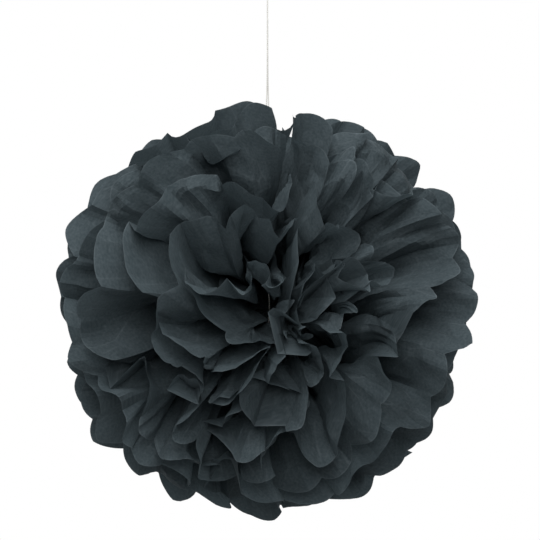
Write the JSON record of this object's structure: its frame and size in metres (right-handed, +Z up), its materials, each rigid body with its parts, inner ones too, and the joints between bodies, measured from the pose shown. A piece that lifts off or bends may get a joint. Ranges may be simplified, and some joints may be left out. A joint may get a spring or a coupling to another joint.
{
  "type": "tissue paper pom pom",
  "caption": "Hanging ball of ruffled dark tissue paper: pleated, scalloped sheets tied at the middle and pulled apart, on a thin looped string.",
  "frame": {"origin": "inside of the crown of the string's loop, where a hook bears", "axes": "+Z up along the string, the flower of the front face looks along -Y, +X to the right as seen from the front"},
  "size_m": [0.4045, 0.3832, 0.5427],
  "materials": {
    "tissue_paper": "matte charcoal tissue, soft creases",
    "string": "off-white twisted thread"
  },
  "bodies": {
    "root": {"front_sheet_1": "tissue_paper", "front_sheet_2": "tissue_paper", "front_sheet_3": "tissue_paper", "front_sheet_4": "tissue_paper", "front_sheet_5": "tissue_paper", "front_sheet_6": "tissue_paper", "back_sheet_1": "tissue_paper", "back_sheet_2": "tissue_paper", "back_sheet_3": "tissue_paper", "back_sheet_4": "tissue_paper", "back_sheet_5": "tissue_paper", "back_sheet_6": "tissue_paper", "centre_tie": "string", "hanging_string": "string", "string_knot": "string"}
  },
  "joints": []
}
